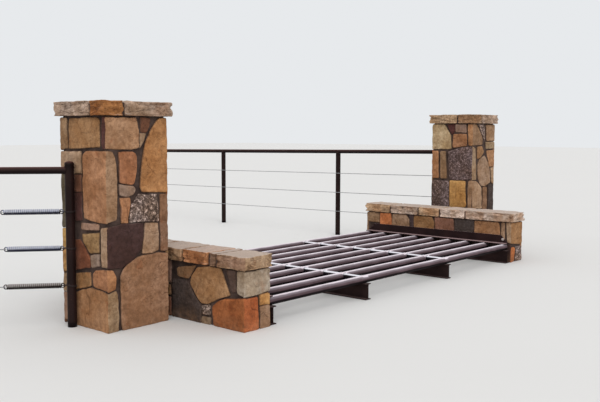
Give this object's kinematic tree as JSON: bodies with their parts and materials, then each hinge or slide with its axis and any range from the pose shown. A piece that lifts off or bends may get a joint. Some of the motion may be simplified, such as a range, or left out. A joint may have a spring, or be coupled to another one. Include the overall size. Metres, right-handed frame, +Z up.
{
  "type": "cattle grid with stone side walls",
  "caption": "Road-width pipe cattle grid on steel beams between low stone walls, with square stone pillars and pipe-and-cable fence stubs.",
  "frame": {"origin": "middle of the near wall's foot, on the ground; the middle of the grid is 2.285 m along +X from it", "axes": "+X across the road from the near wall to the far wall, along the pipes; +Y along the road, the way the far fence runs; +Z up"},
  "size_m": [8.3947, 8.3573, 1.808],
  "materials": {
    "spring_steel": "galvanised, weathered",
    "cable_steel": "galvanised wire rope, weathered",
    "grid_pipe_paint": "dark brown paint, dusty on top",
    "spacer_paint": "dark brown paint worn and whitened by dust",
    "beam_paint": "dark brown paint",
    "angle_paint": "dark brown paint",
    "fence_paint": "dark brown satin paint",
    "cap_stone": "rough sandstone slabs",
    "mortar": "recessed grey-brown mortar",
    "wall_stone": "irregular sandstone pieces in recessed mortar"
  },
  "bodies": {
    "root": {"far_end_beam": "beam_paint", "far_fence_cable_1": "cable_steel", "far_fence_cable_2": "cable_steel", "far_fence_cable_3": "cable_steel", "far_fence_post_1": "fence_paint", "far_fence_post_2": "fence_paint", "far_fence_post_3": "fence_paint", "far_fence_rail": "fence_paint", "far_pillar": "wall_stone", "far_pillar_cap": "cap_stone", "far_side_angle": "angle_paint", "far_spacers": "spacer_paint", "far_stringer": "beam_paint", "far_wall": "wall_stone", "far_wall_coping": "cap_stone", "far_wall_joint": "mortar", "grid_pipe_1": "grid_pipe_paint", "grid_pipe_2": "grid_pipe_paint", "grid_pipe_3": "grid_pipe_paint", "grid_pipe_4": "grid_pipe_paint", "grid_pipe_5": "grid_pipe_paint", "grid_pipe_6": "grid_pipe_paint", "grid_pipe_7": "grid_pipe_paint", "grid_pipe_8": "grid_pipe_paint", "grid_pipe_9": "grid_pipe_paint", "near_end_beam": "beam_paint", "near_fence_cable_1": "cable_steel", "near_fence_cable_2": "cable_steel", "near_fence_cable_3": "cable_steel", "near_fence_end_post": "fence_paint", "near_fence_line_post": "fence_paint", "near_fence_rail": "fence_paint", "near_fence_spring_1": "spring_steel", "near_fence_spring_2": "spring_steel", "near_fence_spring_3": "spring_steel", "near_pillar": "wall_stone", "near_pillar_cap": "cap_stone", "near_side_angle": "angle_paint", "near_spacers": "spacer_paint", "near_stringer": "beam_paint", "near_wall": "wall_stone", "near_wall_coping": "cap_stone", "near_wall_joint": "mortar"}
  },
  "joints": []
}
